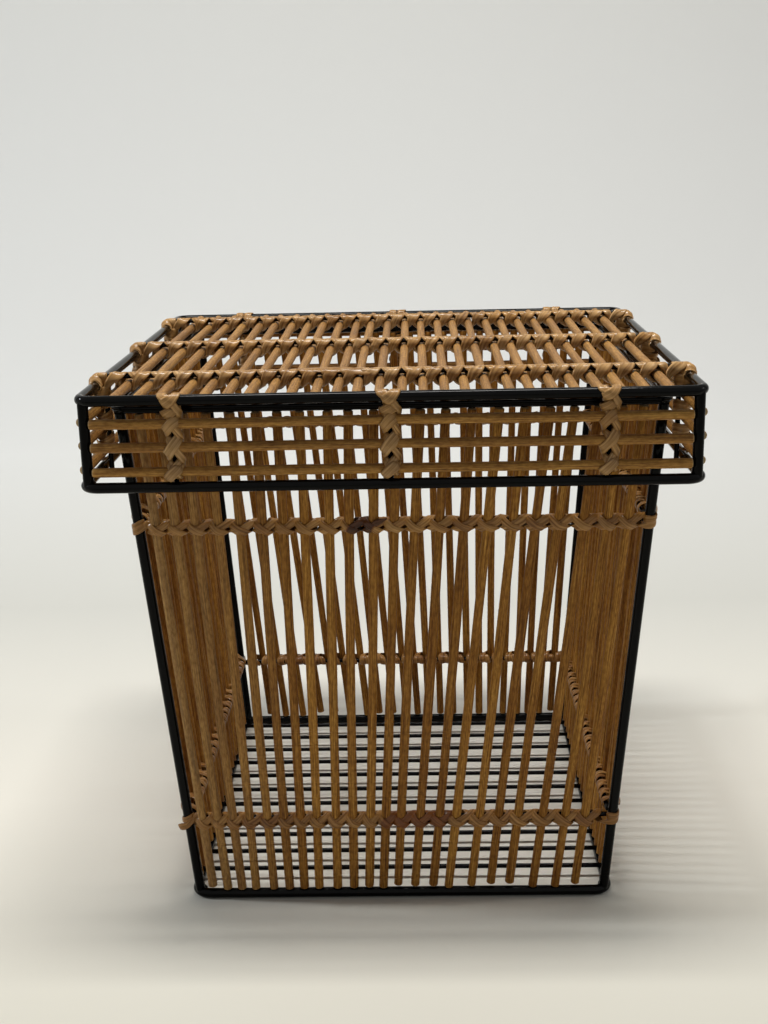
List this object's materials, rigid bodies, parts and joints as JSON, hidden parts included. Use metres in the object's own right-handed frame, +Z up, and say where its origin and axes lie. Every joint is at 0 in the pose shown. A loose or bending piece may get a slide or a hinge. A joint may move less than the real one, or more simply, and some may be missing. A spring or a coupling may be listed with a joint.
{
  "type": "rattan basket with lift-off lid",
  "caption": "Square tapering storage basket of upright rattan canes on a black iron rod frame, with a flat overhanging lid that lifts off.",
  "frame": {"origin": "on the floor, under the middle of the base ring", "axes": "+Z up, -Y towards the front of the basket, +X to the right as seen from the front"},
  "size_m": [0.372, 0.372, 0.3526],
  "materials": {
    "black_iron": "gloss",
    "rattan_cane": "satin"
  },
  "bodies": {
    "basket": {"back_cane_wall": "rattan_cane", "back_wire_lower": "black_iron", "back_wire_upper": "black_iron", "base_ring": "black_iron", "bottom_wire_01": "black_iron", "bottom_wire_02": "black_iron", "bottom_wire_03": "black_iron", "bottom_wire_04": "black_iron", "bottom_wire_05": "black_iron", "bottom_wire_06": "black_iron", "bottom_wire_07": "black_iron", "bottom_wire_08": "black_iron", "bottom_wire_09": "black_iron", "bottom_wire_10": "black_iron", "bottom_wire_11": "black_iron", "front_cane_wall": "rattan_cane", "front_wire_lower": "black_iron", "front_wire_upper": "black_iron", "left_cane_wall": "rattan_cane", "left_wire_lower": "black_iron", "left_wire_upper": "black_iron", "mouth_ring": "black_iron", "post_back_left": "black_iron", "post_back_right": "black_iron", "post_front_left": "black_iron", "post_front_right": "black_iron", "right_cane_wall": "rattan_cane", "right_wire_lower": "black_iron", "right_wire_upper": "black_iron"},
    "lid": {"lid_back_skirt": "rattan_cane", "lid_back_wire_left": "black_iron", "lid_back_wire_middle": "black_iron", "lid_back_wire_right": "black_iron", "lid_cane_panel": "rattan_cane", "lid_cross_wire_back": "black_iron", "lid_cross_wire_front": "black_iron", "lid_cross_wire_middle": "black_iron", "lid_front_skirt": "rattan_cane", "lid_front_wire_left": "black_iron", "lid_front_wire_middle": "black_iron", "lid_front_wire_right": "black_iron", "lid_left_skirt": "rattan_cane", "lid_left_wire_left": "black_iron", "lid_left_wire_middle": "black_iron", "lid_left_wire_right": "black_iron", "lid_lower_ring": "black_iron", "lid_post_back_left": "black_iron", "lid_post_back_right": "black_iron", "lid_post_front_left": "black_iron", "lid_post_front_right": "black_iron", "lid_right_skirt": "rattan_cane", "lid_right_wire_left": "black_iron", "lid_right_wire_middle": "black_iron", "lid_right_wire_right": "black_iron", "lid_upper_ring": "black_iron"}
  },
  "joints": [
    {"name": "lid_lift", "type": "slide", "parent": "basket", "child": "lid", "axis": [0, 0, 1], "range_m": [0, 0.12]}
  ]
}
